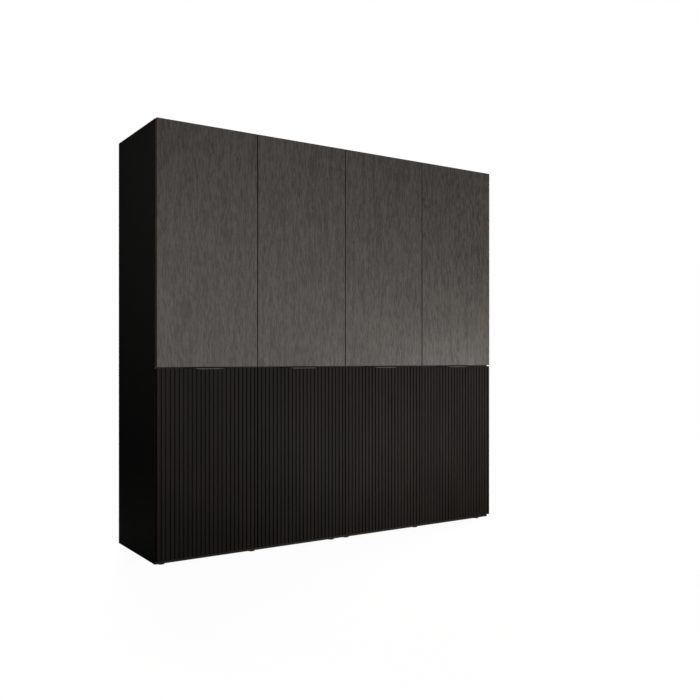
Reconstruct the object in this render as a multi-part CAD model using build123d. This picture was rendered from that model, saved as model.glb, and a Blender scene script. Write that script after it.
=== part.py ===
from build123d import *
import os

# Wardrobe of two equal cabinets bolted side by side, each with two columns.
# Every column has a plain upper door and a fluted lower door.
# Axes: +Z up, the doors face -Y, the origin is on the floor below the middle.
# All lengths are in millimetres.

# ---- overall sizes
WIDTH = 2000.0  # both cabinets
HEIGHT = 2000.0  # floor to top, with the feet
DEPTH = 532.0  # rear edge to the door fronts
LIP_REACH = 12.0  # handle lips in front of the doors

# ---- boards
BOARD = 18.0
BACK_THICKNESS = 3.0
BACK_INSET = 10.0  # rear edge to the back panel
GROOVE_DEPTH = 8.0  # groove that holds the back panel
BACK_CLEARANCE = 0.1
FIXED_SHELF_HEIGHT = 880.0  # underside of the shelf behind the gap between the doors

# ---- doors
DOOR_THICKNESS = 22.0
DOOR_CLEARANCE = 2.0  # between a closed door and the carcass
SIDE_GAP = 2.0  # from a column's edge to its door
MIDDLE_GAP = 6.0  # between the upper and the lower door
BOTTOM_REVEAL = 17.0  # carcass bottom that shows below the lower doors
LOWER_DOOR_HEIGHT = 857.0
DOOR_EDGE_RADIUS = 1.0

# ---- flutes of the lower doors
RIB_WIDTH = 13.0
GROOVE_WIDTH = 8.0  # nearest width, because both edges of a door have a whole rib
FLUTE_DEPTH = 4.5
RIB_RADIUS = 2.5

# ---- handles
HANDLE_WIDTH = 220.0
LIP_WIDTH = 112.0
LIP_HEIGHT = 6.0
SHEET = 2.0
LEG_HEIGHT = 22.0
LEG_CLEARANCE = 0.1
BEND_RADIUS = 1.5
HANDLE_SCREWS = (-85.0, 0.0, 85.0)  # from the handle's middle
HANDLE_SCREW_DROP = 11.0  # below the door's top edge
SCREW_SHANK_RADIUS = 1.7
SCREW_HEAD_RADIUS = 3.6
SCREW_LENGTH = 9.0
SCREW_CLEARANCE = 0.1

# ---- hinges: pairs are distances from the column's edge and behind the door's back
# A door turns about an upright axis 9 from its column's edge and 5 behind its front.
HINGE_END_DISTANCE = 100.0  # from a door's end to its nearest hinge
UPPER_HINGES = 3
LOWER_HINGES = 2
CUP_RADIUS = 17.5
CUP_EDGE_DISTANCE = 4.0  # from the door's edge to the cup's bore
CUP_DEPTH = 13.0
CUP_WALL = 1.0
CUP_FLOOR = 0.8
CUP_FLANGE = 0.8
CUP_CLEARANCE = 0.1
EAR_OFFSET = 9.5  # cup screws, behind the cup's middle
EAR_SPACING = 45.0
EAR_WIDTH = 19.0
EAR_END = 6.5  # from a cup screw to the end of its ear
FLANGE_REACH = 1.5  # beyond the cup's bore
CUP_SCREW_RADIUS = 4.0
CUP_SCREW_HEAD = 0.4
LINK_PIN = (9.8, -6.0)  # link's pivot in the cup
LINK_TAIL = (34.5, 4.5)  # link's end in the arm
LINK_ROUTE = ((10.3, -9.65), (14.0, -11.1), (20.0, -10.1), (28.0, -4.0))
LINK_THICKNESS = 1.2
LINK_WIDTH = 9.0
LINK_EYE_RADIUS = 1.7
PIN_RADIUS = 0.8
PIN_CLEARANCE = 0.1
ARM_WIDTH = 16.0
ARM_WALL = 1.2
ARM_HEIGHT = 23.0  # above the side's inner face
ARM_NOSE_GAP = 0.8  # from the carcass front to the arm's nose
ARM_LENGTH = 60.0
ARM_RADIUS = 2.5
ARM_PLATE_GAP = 0.5
PLATE_SETBACK = 37.0  # from the carcass front to the plate's screws
PLATE_THICKNESS = 2.0
WING_WIDTH = 12.0
WING_LENGTH = 48.0
PLATE_AHEAD = 16.0  # base in front of the plate's screws
PLATE_BEHIND = 22.0
RISER_AHEAD = 9.0  # block that carries the arm
RISER_BEHIND = 18.0
RISER_GAP = 4.0  # below the arm
PLATE_SCREW_SPACING = 32.0
PLATE_SCREW_RADIUS = 2.5
PLATE_SCREW_DEPTH = 11.0
PLATE_HEAD_RADIUS = 4.2
PLATE_HEAD = 1.4

# ---- fittings
FOOT_RADIUS = 17.0
FOOT_HEIGHT = 12.0
FOOT_SIDE_DISTANCE = 46.0
FOOT_FRONT_DISTANCE = 45.0
FOOT_REAR_DISTANCE = 60.0
FOOT_CHAMFER = 1.5
STEM_RADIUS = 4.0
STEM_LENGTH = 14.0
FIT_CLEARANCE = 0.1
SHELF_SIDE_CLEARANCE = 1.0
SHELF_SETBACK = 20.0
SHELF_PIN_RADIUS = 2.5
SHELF_PIN_DEPTH = 8.0
SHELF_PIN_REACH = 8.0
SHELF_PIN_INSET = 60.0  # from a shelf's front and rear edges
PIN_HOLE_PITCH = 32.0
PIN_HOLE_STEPS = (-2, -1, 0, 1, 2)
RAIL_WIDTH = 15.0
RAIL_HEIGHT = 30.0
RAIL_WALL = 1.2
RAIL_DROP = 60.0  # from the top panel to the rail's middle
RAIL_END_GAP = 1.0
SOCKET_LENGTH = 14.0
SOCKET_WALL = 3.0
LATCH_SIZE = (22.0, 70.0, 15.0)
LATCH_FREE_EDGE = 60.0  # from the column's free edge to the latch's middle
LATCH_SETBACK = 1.0  # from the carcass front
PLUNGER_TIP_RADIUS = 1.2
PLUNGER_RADIUS = 3.7
PLUNGER_CLEARANCE = 0.3
PLUNGER_LENGTH = 46.0
PLUNGER_GAP = 0.4
BUMPER_RADIUS = 3.0
BUMPER_GAP = 0.3
BUMPER_INSET = 5.5  # from the column's free edge to the bumper's middle
BUMPER_END_DISTANCE = 40.0  # from a door's end
JOINING_BOLT_RADIUS = 3.0
JOINING_CAP_RADIUS = 7.0
JOINING_CAP = 1.5
JOINING_INSET = 110.0  # from the carcass front and the rear edge
JOINING_HEIGHTS = (150.0, 300.0)  # above the bottom panel; the last bolts are below the top
JOINING_TOP_DROP = 190.0
BRACKET = (40.0, 30.0, 2.0)  # width, leg, thickness
ANCHOR_RADIUS = 3.0
ANCHOR_SPACING = 800.0

# ---- places worked out from the sizes
CABINET = WIDTH / 2
COLUMN = CABINET / 2
FRONT = LIP_REACH - (DEPTH + LIP_REACH) / 2
REAR = FRONT + DEPTH
CARCASS_FRONT = FRONT + DOOR_THICKNESS + DOOR_CLEARANCE
BACK_FACE = REAR - BACK_INSET - BACK_THICKNESS  # inner face of the back panel
CARCASS_LOW = FOOT_HEIGHT
INNER_LOW = CARCASS_LOW + BOARD
INNER_HIGH = HEIGHT - BOARD
LOWER_DOOR_LOW = CARCASS_LOW + BOTTOM_REVEAL
LOWER_DOOR_TOP = LOWER_DOOR_LOW + LOWER_DOOR_HEIGHT
UPPER_DOOR_LOW = LOWER_DOOR_TOP + MIDDLE_GAP
FIXED_SHELF_TOP = FIXED_SHELF_HEIGHT + BOARD
CUP_ACROSS = SIDE_GAP + CUP_EDGE_DISTANCE + CUP_RADIUS
DOOR_MIDDLE = COLUMN / 2

# Column number, X of the column edge with the hinges, direction away from that edge.
COLUMNS = (
    (1, -WIDTH / 2, 1),
    (2, 0.0, -1),
    (3, 0.0, 1),
    (4, WIDTH / 2, -1),
)


def even(low, high, count):
    """COUNT heights from low to high, evenly spaced."""
    return [low + (high - low) * i / (count - 1) for i in range(count)]


UPPER_HINGE_HEIGHTS = even(UPPER_DOOR_LOW + HINGE_END_DISTANCE, HEIGHT - HINGE_END_DISTANCE, UPPER_HINGES)
LOWER_HINGE_HEIGHTS = even(
    LOWER_DOOR_LOW + HINGE_END_DISTANCE, LOWER_DOOR_TOP - HINGE_END_DISTANCE, LOWER_HINGES
)
HINGE_HEIGHTS = LOWER_HINGE_HEIGHTS + UPPER_HINGE_HEIGHTS


def bay_shelves(low, high, count):
    """Undersides of COUNT shelves that divide the height between low and high evenly."""
    bay = (high - low - count * BOARD) / (count + 1)
    return [low + bay + i * (bay + BOARD) for i in range(count)]


LOWER_SHELVES = bay_shelves(INNER_LOW, FIXED_SHELF_HEIGHT, 1)
UPPER_SHELVES = bay_shelves(FIXED_SHELF_TOP, INNER_HIGH, 2)
SHELVES = {1: LOWER_SHELVES, 2: LOWER_SHELVES + UPPER_SHELVES}
SHELVES[3] = SHELVES[2]
SHELVES[4] = SHELVES[1]


# ---- helpers
def block(x, y, z):
    """A box between two values on each axis, given in any order."""
    low = [min(pair) for pair in (x, y, z)]
    high = [max(pair) for pair in (x, y, z)]
    size = [b - a for a, b in zip(low, high)]
    return Pos(*low) * Box(*size, align=(Align.MIN, Align.MIN, Align.MIN))


def rod_x(x, y, z, radius):
    """A round bar along X between the two values in x."""
    middle = (x[0] + x[1]) / 2
    return Pos(middle, y, z) * Rot(0, 90, 0) * Cylinder(radius, abs(x[1] - x[0]))


def rod_y(x, y, z, radius):
    """A round bar along Y between the two values in y."""
    middle = (y[0] + y[1]) / 2
    return Pos(x, middle, z) * Rot(90, 0, 0) * Cylinder(radius, abs(y[1] - y[0]))


def rod_z(x, y, z, radius):
    """A round bar along Z between the two values in z."""
    return Pos(x, y, (z[0] + z[1]) / 2) * Cylinder(radius, abs(z[1] - z[0]))


def in_column(shape, edge, away):
    """Move a shape from the hinge edge at X = 0 to a column, mirrored where it hangs on the right."""
    return Pos(edge, 0, 0) * (shape if away > 0 else mirror(shape, about=Plane.YZ))


def save(name, solids):
    """Write one node, from one solid or a list of separate solids."""
    shape = Compound(children=solids) if isinstance(solids, list) else solids
    export_step(shape, f"parts/{name}.step")


# ---- carcass
def column_walls(edge, away):
    """X of a column's two inner faces: on the hinge side, then at the partition."""
    return edge + away * BOARD, edge + away * (COLUMN - BOARD / 2)


def shelf_depth():
    return CARCASS_FRONT + SHELF_SETBACK, BACK_FACE - SHELF_SIDE_CLEARANCE


def pin_places(number, edge, away):
    """Each shelf pin of a column: wall face, direction into the wall, depth place, shelf underside."""
    hinge_face, partition_face = column_walls(edge, away)
    front, rear = shelf_depth()
    for underside in SHELVES[number]:
        for y in (front + SHELF_PIN_INSET, rear - SHELF_PIN_INSET):
            yield hinge_face, -away, y, underside
            yield partition_face, away, y, underside


def pin_holes():
    """Rows of holes that let the shelves be moved, on both walls of every column."""
    depth = SHELF_PIN_DEPTH + FIT_CLEARANCE
    holes = []
    for column in COLUMNS:
        for face, inward, y, underside in pin_places(*column):
            for step in PIN_HOLE_STEPS:
                z = underside - SHELF_PIN_RADIUS + step * PIN_HOLE_PITCH
                holes.append(rod_x((face, face + inward * depth), y, z, SHELF_PIN_RADIUS + FIT_CLEARANCE))
    return holes


def plate_screw_places():
    """Y and Z of every screw of the hinge plates."""
    for z in HINGE_HEIGHTS:
        for offset in (-PLATE_SCREW_SPACING / 2, PLATE_SCREW_SPACING / 2):
            yield CARCASS_FRONT + PLATE_SETBACK, z + offset


def plate_screw_holes():
    radius = PLATE_SCREW_RADIUS + FIT_CLEARANCE
    depth = PLATE_SCREW_DEPTH + FIT_CLEARANCE
    return [
        rod_x((edge + away * BOARD, edge + away * (BOARD - depth)), y, z, radius)
        for _, edge, away in COLUMNS
        for y, z in plate_screw_places()
    ]


def joining_places():
    """Y and Z of the bolts that join the two cabinets."""
    low, middle = (INNER_LOW + height for height in JOINING_HEIGHTS)
    for z in (low, middle, INNER_HIGH - JOINING_TOP_DROP):
        for y in (CARCASS_FRONT + JOINING_INSET, REAR - JOINING_INSET):
            yield y, z


def back_panel(x_low):
    """Back panel with the holes for the wall anchors."""
    reach = BOARD - GROOVE_DEPTH + BACK_CLEARANCE
    panel = block(
        (x_low + reach, x_low + CABINET - reach),
        (BACK_FACE, BACK_FACE + BACK_THICKNESS),
        (CARCASS_LOW + reach, HEIGHT - reach),
    )
    return panel - anchor_holes(x_low)


def back_groove(x_low):
    """Space of the back panel in its four grooves."""
    reach = BOARD - GROOVE_DEPTH
    return block(
        (x_low + reach, x_low + CABINET - reach),
        (BACK_FACE - BACK_CLEARANCE, BACK_FACE + BACK_THICKNESS + BACK_CLEARANCE),
        (CARCASS_LOW + reach, HEIGHT - reach),
    )


def anchor_places(x_low):
    middle = x_low + CABINET / 2
    return middle - ANCHOR_SPACING / 2, middle + ANCHOR_SPACING / 2


def anchor_height():
    return INNER_HIGH - BRACKET[1] / 2


def anchor_holes(x_low):
    return [
        rod_y(x, (BACK_FACE - 2 * BRACKET[2], REAR), anchor_height(), ANCHOR_RADIUS)
        for x in anchor_places(x_low)
    ]


def foot_places(x_low):
    """X and Y of one cabinet's feet."""
    for x in (FOOT_SIDE_DISTANCE, CABINET / 2, CABINET - FOOT_SIDE_DISTANCE):
        for y in (CARCASS_FRONT + FOOT_FRONT_DISTANCE, REAR - FOOT_REAR_DISTANCE):
            yield x_low + x, y


def build_carcass():
    depth = (CARCASS_FRONT, REAR)
    shelf_holes = pin_holes()
    screw_holes = plate_screw_holes()
    for name, x_low in (("left", -WIDTH / 2), ("right", 0.0)):
        x_high = x_low + CABINET
        groove = back_groove(x_low)
        sides = {"outer": x_low, "inner": x_high - BOARD}
        if name == "right":
            sides = {"outer": x_high - BOARD, "inner": x_low}
        for place, x in sides.items():
            panel = block((x, x + BOARD), depth, (CARCASS_LOW, HEIGHT))
            cuts = [groove] + near(shelf_holes + screw_holes, x, x + BOARD)
            if place == "inner":
                radius = JOINING_BOLT_RADIUS + FIT_CLEARANCE
                cuts += [rod_x((x, x + BOARD), y, z, radius) for y, z in joining_places()]
            save(f"{name}_{place}_side", panel - cuts)
        between = (x_low + BOARD, x_high - BOARD)
        save(f"{name}_top", block(between, depth, (INNER_HIGH, HEIGHT)) - groove)
        stem = (CARCASS_LOW, CARCASS_LOW + STEM_LENGTH + FIT_CLEARANCE)
        stems = [rod_z(x, y, stem, STEM_RADIUS + FIT_CLEARANCE) for x, y in foot_places(x_low)]
        save(f"{name}_bottom", block(between, depth, (CARCASS_LOW, INNER_LOW)) - [groove] - stems)
        middle = x_low + CABINET / 2
        wall = (middle - BOARD / 2, middle + BOARD / 2)
        partition = block(wall, (CARCASS_FRONT, BACK_FACE), (INNER_LOW, INNER_HIGH))
        save(f"{name}_partition", partition - near(shelf_holes, *wall))
        save(f"{name}_back", back_panel(x_low))


def near(holes, low, high):
    """The holes whose middle lies between two X values."""
    return [hole for hole in holes if low <= hole.center().X <= high]


def build_shelves():
    fixed = []
    adjustable = []
    pins = []
    for column in COLUMNS:
        walls = column_walls(*column[1:])
        fixed.append(block(walls, (CARCASS_FRONT, BACK_FACE), (FIXED_SHELF_HEIGHT, FIXED_SHELF_TOP)))
        inner = (min(walls) + SHELF_SIDE_CLEARANCE, max(walls) - SHELF_SIDE_CLEARANCE)
        for underside in SHELVES[column[0]]:
            adjustable.append(block(inner, shelf_depth(), (underside, underside + BOARD)))
        for face, inward, y, underside in pin_places(*column):
            z = underside - SHELF_PIN_RADIUS
            shank = rod_x((face, face + inward * SHELF_PIN_DEPTH), y, z, SHELF_PIN_RADIUS)
            half = SHELF_PIN_REACH / 2
            across = (face, face - inward * SHELF_PIN_REACH)
            pins.append(shank + block(across, (y - half, y + half), (underside, z - SHELF_PIN_RADIUS)))
    save("fixed_shelves", fixed)
    save("adjustable_shelves", adjustable)
    save("shelf_pins", pins)


def oval_bar(x, y, z, width, height):
    """A bar along X with a flat-sided oval section."""
    section = Pos(x[0], y, z) * Rot(0, 90, 0) * SlotOverall(height, width)
    return extrude(section, abs(x[1] - x[0]), dir=(1, 0, 0))


def build_rails():
    """Oval tubes for coat hangers in the outer columns, with a socket at each end."""
    y = (CARCASS_FRONT + BACK_FACE) / 2
    z = INNER_HIGH - RAIL_DROP
    sockets = []
    for name, (_, edge, away) in (("left", COLUMNS[0]), ("right", COLUMNS[-1])):
        low, high = sorted(column_walls(edge, away))
        ends = (low + RAIL_END_GAP, high - RAIL_END_GAP)
        tube = oval_bar(ends, y, z, RAIL_WIDTH, RAIL_HEIGHT)
        tube -= oval_bar(ends, y, z, RAIL_WIDTH - 2 * RAIL_WALL, RAIL_HEIGHT - 2 * RAIL_WALL)
        save(f"{name}_hanging_rail", tube)
        hole = (RAIL_WIDTH + 2 * FIT_CLEARANCE, RAIL_HEIGHT + 2 * FIT_CLEARANCE)
        wall = 2 * SOCKET_WALL
        for start, end in ((low, low + SOCKET_LENGTH), (high - SOCKET_LENGTH, high)):
            collar = oval_bar((start, end), y, z, RAIL_WIDTH + wall, RAIL_HEIGHT + wall)
            inside = (start + RAIL_END_GAP, end) if start == low else (start, end - RAIL_END_GAP)
            collar -= oval_bar(inside, y, z, *hole)
            sockets.append(collar)
    save("rail_sockets", sockets)


def build_fittings():
    feet = []
    brackets = []
    for x_low in (-WIDTH / 2, 0.0):
        for x, y in foot_places(x_low):
            disc = rod_z(x, y, (0, CARCASS_LOW), FOOT_RADIUS)
            disc = chamfer(disc.edges().filter_by(GeomType.CIRCLE).sort_by(Axis.Z)[:1], FOOT_CHAMFER)
            feet.append(disc + rod_z(x, y, (CARCASS_LOW, CARCASS_LOW + STEM_LENGTH), STEM_RADIUS))
        width, leg, thick = BRACKET
        for x in anchor_places(x_low):
            across = (x - width / 2, x + width / 2)
            upright = block(across, (BACK_FACE - thick, BACK_FACE), (INNER_HIGH - leg, INNER_HIGH))
            flat = block(across, (BACK_FACE - leg, BACK_FACE), (INNER_HIGH - thick, INNER_HIGH))
            brackets.append(upright + flat - anchor_holes(x_low))
    save("feet", feet)
    save("wall_brackets", brackets)
    bolts = []
    for y, z in joining_places():
        bolt = rod_x((-BOARD, BOARD), y, z, JOINING_BOLT_RADIUS)
        for face in (-BOARD, BOARD):
            outward = 1 if face > 0 else -1
            bolt += rod_x((face, face + outward * JOINING_CAP), y, z, JOINING_CAP_RADIUS)
        bolts.append(bolt)
    save("joining_bolts", bolts)
    bumpers = []
    reach = (FRONT + DOOR_THICKNESS + BUMPER_GAP, CARCASS_FRONT)
    for _, edge, away in COLUMNS:
        x = edge + away * (COLUMN - BUMPER_INSET)
        for low, high in ((LOWER_DOOR_LOW, LOWER_DOOR_TOP), (UPPER_DOOR_LOW, HEIGHT)):
            for z in (low + BUMPER_END_DISTANCE, high - BUMPER_END_DISTANCE):
                bumpers.append(rod_y(x, reach, z, BUMPER_RADIUS))
    save("door_bumpers", bumpers)


# ---- push latches of the upper doors
def build_latches():
    width, length, height = LATCH_SIZE
    housings = []
    for number, edge, away in COLUMNS:
        x = edge + away * (COLUMN - LATCH_FREE_EDGE)
        z = INNER_HIGH - height / 2
        body = block(
            (x - width / 2, x + width / 2),
            (CARCASS_FRONT + LATCH_SETBACK, CARCASS_FRONT + LATCH_SETBACK + length),
            (INNER_HIGH - height, INNER_HIGH),
        )
        tip = FRONT + DOOR_THICKNESS + PLUNGER_GAP
        bore_end = tip + PLUNGER_LENGTH + PLUNGER_CLEARANCE
        housings.append(body - rod_y(x, (CARCASS_FRONT, bore_end), z, PLUNGER_RADIUS + PLUNGER_CLEARANCE))
        plunger = rod_y(x, (tip, tip + PLUNGER_LENGTH), z, PLUNGER_RADIUS)
        rim = plunger.edges().filter_by(GeomType.CIRCLE).sort_by(Axis.Y)[:1]
        plunger = fillet(rim, PLUNGER_TIP_RADIUS)
        save(f"latch_plunger_{number}", plunger)
    save("latch_housings", housings)


# ---- hinges, drawn for a column whose hinge edge is at X = 0
def cup_bores(heights):
    back = FRONT + DOOR_THICKNESS
    return [rod_y(CUP_ACROSS, (back - CUP_DEPTH, back + 1), z, CUP_RADIUS) for z in heights]


def hinge_cup(z):
    """Steel cup in the door, with its flange and the pin that the link turns on."""
    back = FRONT + DOOR_THICKNESS
    floor = back - CUP_DEPTH
    flange_top = back + CUP_FLANGE
    outer = CUP_RADIUS - CUP_CLEARANCE
    cup = rod_y(CUP_ACROSS, (floor, flange_top), z, outer)
    ear = CUP_ACROSS + EAR_OFFSET
    ear_high = ear + EAR_END
    ear_end = EAR_SPACING / 2 + EAR_END
    ears = block((ear_high - EAR_WIDTH, ear_high), (back, flange_top), (z - ear_end, z + ear_end))
    ears = fillet(ears.edges().filter_by(Axis.Y), EAR_END - 0.5)
    flange = rod_y(CUP_ACROSS, (back, flange_top), z, CUP_RADIUS + FLANGE_REACH) + ears
    hollow = rod_y(CUP_ACROSS, (floor + CUP_FLOOR, flange_top), z, outer - CUP_WALL)
    cup = cup + flange - hollow
    for side in (-1, 1):
        screw_z = z + side * EAR_SPACING / 2
        cup += rod_y(ear, (back, flange_top + CUP_SCREW_HEAD), screw_z, CUP_SCREW_RADIUS)
    pin_half = ((outer - CUP_WALL / 2) ** 2 - (CUP_ACROSS - LINK_PIN[0]) ** 2) ** 0.5
    return cup + rod_z(LINK_PIN[0], back + LINK_PIN[1], (z - pin_half, z + pin_half), PIN_RADIUS)


def hinge_link(z):
    """Hooked link: it turns on the cup's pin, and its tail slides inside the arm."""
    back = FRONT + DOOR_THICKNESS
    points = [(x, back + y) for x, y in (LINK_PIN, *LINK_ROUTE, LINK_TAIL)]
    outline = trace(Spline(*points), LINK_THICKNESS)
    for x, y in (points[0], points[-1]):
        outline += Pos(x, y) * Circle(LINK_EYE_RADIUS)
    for x, y in (points[0], points[-1]):
        outline -= Pos(x, y) * Circle(PIN_RADIUS + PIN_CLEARANCE)
    return Pos(0, 0, z - LINK_WIDTH / 2) * extrude(outline, LINK_WIDTH)


def hinge_arm(z):
    """Channel that is open towards the side panel."""
    top = BOARD + ARM_HEIGHT
    nose = CARCASS_FRONT + ARM_NOSE_GAP
    half = ARM_WIDTH / 2
    low = BOARD + PLATE_THICKNESS + ARM_PLATE_GAP
    arm = block((low, top), (nose, nose + ARM_LENGTH), (z - half, z + half))
    arm = fillet(arm.edges().filter_by(Axis.Y).group_by(Axis.X)[-1], ARM_RADIUS)
    inner = half - ARM_WALL
    return arm - block((BOARD, top - ARM_WALL), (nose - 1, nose + ARM_LENGTH + 1), (z - inner, z + inner))


def hinge_plate(z):
    """Winged plate on the side panel, with the block that carries the arm."""
    middle = CARCASS_FRONT + PLATE_SETBACK
    seat = (BOARD, BOARD + PLATE_THICKNESS)
    wing_half = WING_WIDTH / 2
    wing_end = WING_LENGTH / 2
    wing = block(seat, (middle - wing_half, middle + wing_half), (z - wing_end, z + wing_end))
    wing = fillet(wing.edges().filter_by(Axis.X), wing_half - 1)
    half = ARM_WIDTH / 2 - ARM_WALL - FIT_CLEARANCE
    base = block(seat, (middle - PLATE_AHEAD, middle + PLATE_BEHIND), (z - half, z + half))
    riser_top = BOARD + ARM_HEIGHT - ARM_WALL - RISER_GAP
    riser = block((BOARD, riser_top), (middle - RISER_AHEAD, middle + RISER_BEHIND), (z - half, z + half))
    plate = wing + base + riser
    for screw_z in (z - PLATE_SCREW_SPACING / 2, z + PLATE_SCREW_SPACING / 2):
        plate -= rod_x(seat, middle, screw_z, PLATE_SCREW_RADIUS + FIT_CLEARANCE)
    return plate


def plate_screw(y, z):
    shank = rod_x((BOARD - PLATE_SCREW_DEPTH, BOARD + PLATE_THICKNESS), y, z, PLATE_SCREW_RADIUS)
    head_start = BOARD + PLATE_THICKNESS
    return shank + rod_x((head_start, head_start + PLATE_HEAD), y, z, PLATE_HEAD_RADIUS)


def build_hinges():
    arms = []
    plates = []
    screws = []
    for _, edge, away in COLUMNS:
        arms += [in_column(hinge_arm(z), edge, away) for z in HINGE_HEIGHTS]
        plates += [in_column(hinge_plate(z), edge, away) for z in HINGE_HEIGHTS]
        screws += [in_column(plate_screw(y, z), edge, away) for y, z in plate_screw_places()]
    save("hinge_arms", arms)
    save("hinge_plates", plates)
    save("plate_screws", screws)
    for level, heights in (("upper", UPPER_HINGE_HEIGHTS), ("lower", LOWER_HINGE_HEIGHTS)):
        for number, edge, away in COLUMNS:
            save(f"{level}_cups_{number}", [in_column(hinge_cup(z), edge, away) for z in heights])
            save(f"{level}_links_{number}", [in_column(hinge_link(z), edge, away) for z in heights])


# ---- doors, drawn for a column whose hinge edge is at X = 0
def upper_door():
    slab = block(
        (SIDE_GAP, COLUMN - SIDE_GAP), (FRONT, FRONT + DOOR_THICKNESS), (UPPER_DOOR_LOW, HEIGHT)
    )
    slab = fillet(slab.faces().sort_by(Axis.Y)[0].edges(), DOOR_EDGE_RADIUS)
    return slab - cup_bores(UPPER_HINGE_HEIGHTS)


def fluted_section():
    """Plan of a lower door: ribs with rounded edges, the first and the last at the door's edges."""
    run = COLUMN - 2 * SIDE_GAP - RIB_WIDTH
    steps = round(run / (RIB_WIDTH + GROOVE_WIDTH))
    floor = FRONT + FLUTE_DEPTH
    shoulder = FRONT + RIB_RADIUS
    back = FRONT + DOOR_THICKNESS
    edges = []
    for i in range(steps + 1):
        left = SIDE_GAP + i * run / steps
        right = left + RIB_WIDTH
        if i > 0:
            edges += Polyline((before, shoulder), (before, floor), (left, floor), (left, shoulder)).edges()
        edges.append(TangentArc((left, shoulder), (left + RIB_RADIUS, FRONT), tangent=(0, -1)))
        edges.append(Line((left + RIB_RADIUS, FRONT), (right - RIB_RADIUS, FRONT)))
        edges.append(TangentArc((right - RIB_RADIUS, FRONT), (right, shoulder), tangent=(1, 0)))
        before = right
    edges += Polyline((before, shoulder), (before, back), (SIDE_GAP, back), (SIDE_GAP, shoulder)).edges()
    return make_face(Wire(edges))


def handle_screw_places():
    return [(DOOR_MIDDLE + x, LOWER_DOOR_TOP - HANDLE_SCREW_DROP) for x in HANDLE_SCREWS]


def lower_door():
    door = Pos(0, 0, LOWER_DOOR_LOW) * extrude(fluted_section(), LOWER_DOOR_HEIGHT, dir=(0, 0, 1))
    back = FRONT + DOOR_THICKNESS
    half = HANDLE_WIDTH / 2 + LEG_CLEARANCE
    rebate = block(
        (DOOR_MIDDLE - half, DOOR_MIDDLE + half),
        (back - SHEET - LEG_CLEARANCE, back + 1),
        (LOWER_DOOR_TOP - LEG_HEIGHT - LEG_CLEARANCE, LOWER_DOOR_TOP + 1),
    )
    pilots = [
        rod_y(x, (back - SHEET - SCREW_LENGTH, back), z, SCREW_SHANK_RADIUS + SCREW_CLEARANCE)
        for x, z in handle_screw_places()
    ]
    return door - cup_bores(LOWER_HINGE_HEIGHTS) - [rebate] - pilots


def handle_plan():
    """Plan of the handle's top: a plain back, and a lip with smooth shoulders in front."""
    half = HANDLE_WIDTH / 2
    lip = LIP_WIDTH / 2
    back = FRONT + DOOR_THICKNESS
    tip = FRONT - LIP_REACH
    turn = ((half + lip) / 2, (FRONT + tip) / 2)
    outline = [
        Polyline((-half, FRONT), (-half, back), (half, back), (half, FRONT)),
        TangentArc((half, FRONT), turn, tangent=(-1, 0)),
        TangentArc((lip, tip), turn, tangent=(1, 0)),
        Line((lip, tip), (-lip, tip)),
        TangentArc((-lip, tip), (-turn[0], turn[1]), tangent=(-1, 0)),
        TangentArc((-half, FRONT), (-turn[0], turn[1]), tangent=(1, 0)),
    ]
    return make_face(Wire([edge for piece in outline for edge in piece.edges()]))


def handle():
    """Folded sheet: a leg behind the door, a top over its edge and a lip turned down in front."""
    back = FRONT + DOOR_THICKNESS
    half = HANDLE_WIDTH / 2
    tip = FRONT - LIP_REACH
    sheet_top = LOWER_DOOR_TOP + SHEET
    sheet = Pos(0, 0, LOWER_DOOR_TOP) * extrude(handle_plan(), SHEET, dir=(0, 0, 1))
    sheet += block((-half, half), (back - SHEET, back), (LOWER_DOOR_TOP - LEG_HEIGHT, LOWER_DOOR_TOP))
    lip = LIP_WIDTH / 2
    sheet += block((-lip, lip), (tip, tip + SHEET), (sheet_top - LIP_HEIGHT, sheet_top))
    bend = sheet.edges().filter_by(Axis.X).group_by(Axis.Z)[-1].sort_by(Axis.Y)[0]
    sheet = Pos(DOOR_MIDDLE, 0, 0) * fillet(bend, BEND_RADIUS)
    screws = []
    for x, z in handle_screw_places():
        head = Pos(x, back - SHEET / 2, z) * Rot(90, 0, 0)
        wide, narrow = SCREW_HEAD_RADIUS, SCREW_SHANK_RADIUS
        sheet -= head * Cone(wide + SCREW_CLEARANCE, narrow + SCREW_CLEARANCE, SHEET)
        shank = rod_y(x, (back - SHEET - SCREW_LENGTH + 1, back - SHEET / 2), z, narrow)
        screws.append(head * Cone(wide, narrow, SHEET) + shank)
    return [sheet] + screws


def build_doors():
    upper = upper_door()
    lower = lower_door()
    pull = handle()
    for number, edge, away in COLUMNS:
        save(f"upper_door_{number}", in_column(upper, edge, away))
        save(f"lower_door_{number}", in_column(lower, edge, away))
        save(f"handle_{number}", [in_column(piece, edge, away) for piece in pull])


def main():
    os.makedirs("parts", exist_ok=True)
    build_carcass()
    build_shelves()
    build_rails()
    build_fittings()
    build_latches()
    build_hinges()
    build_doors()


main()
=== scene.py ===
import math

import bmesh
import bpy
from mathutils import Matrix, Vector


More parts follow.
